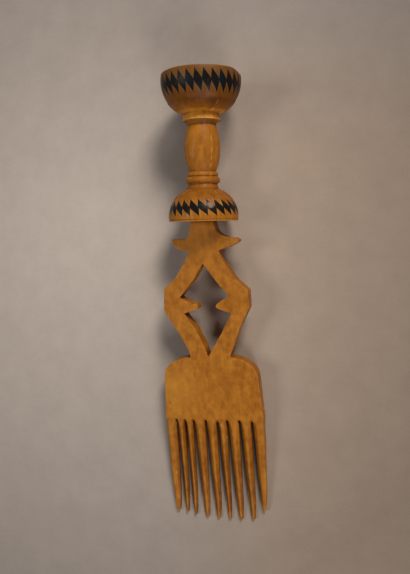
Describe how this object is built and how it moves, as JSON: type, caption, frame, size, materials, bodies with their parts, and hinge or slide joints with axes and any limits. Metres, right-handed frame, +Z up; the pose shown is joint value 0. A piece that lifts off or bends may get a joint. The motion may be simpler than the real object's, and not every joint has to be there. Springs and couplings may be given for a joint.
{
  "type": "comb",
  "caption": "Wooden hair comb with a lathe-turned cup and dome handle, an openwork neck with wings and bent limbs, and long tapered teeth.",
  "frame": {"origin": "under the middle of the comb, on the surface that it lies on", "axes": "+X across the plate, +Y along the comb from the teeth to the cup, +Z up from the surface"},
  "size_m": [0.0536, 0.2358, 0.0457],
  "materials": {
    "turned_wood": "satin, hand-polished light hardwood with turning lines",
    "carved_wood": "satin, knife-cut light hardwood worn smooth",
    "black_filling": "black resin-like filling with a faint blue gloss"
  },
  "bodies": {
    "root": {"turned_handle": "turned_wood", "comb_plate": "carved_wood", "cup_band_filling": "black_filling", "dome_band_filling": "black_filling"}
  },
  "joints": []
}
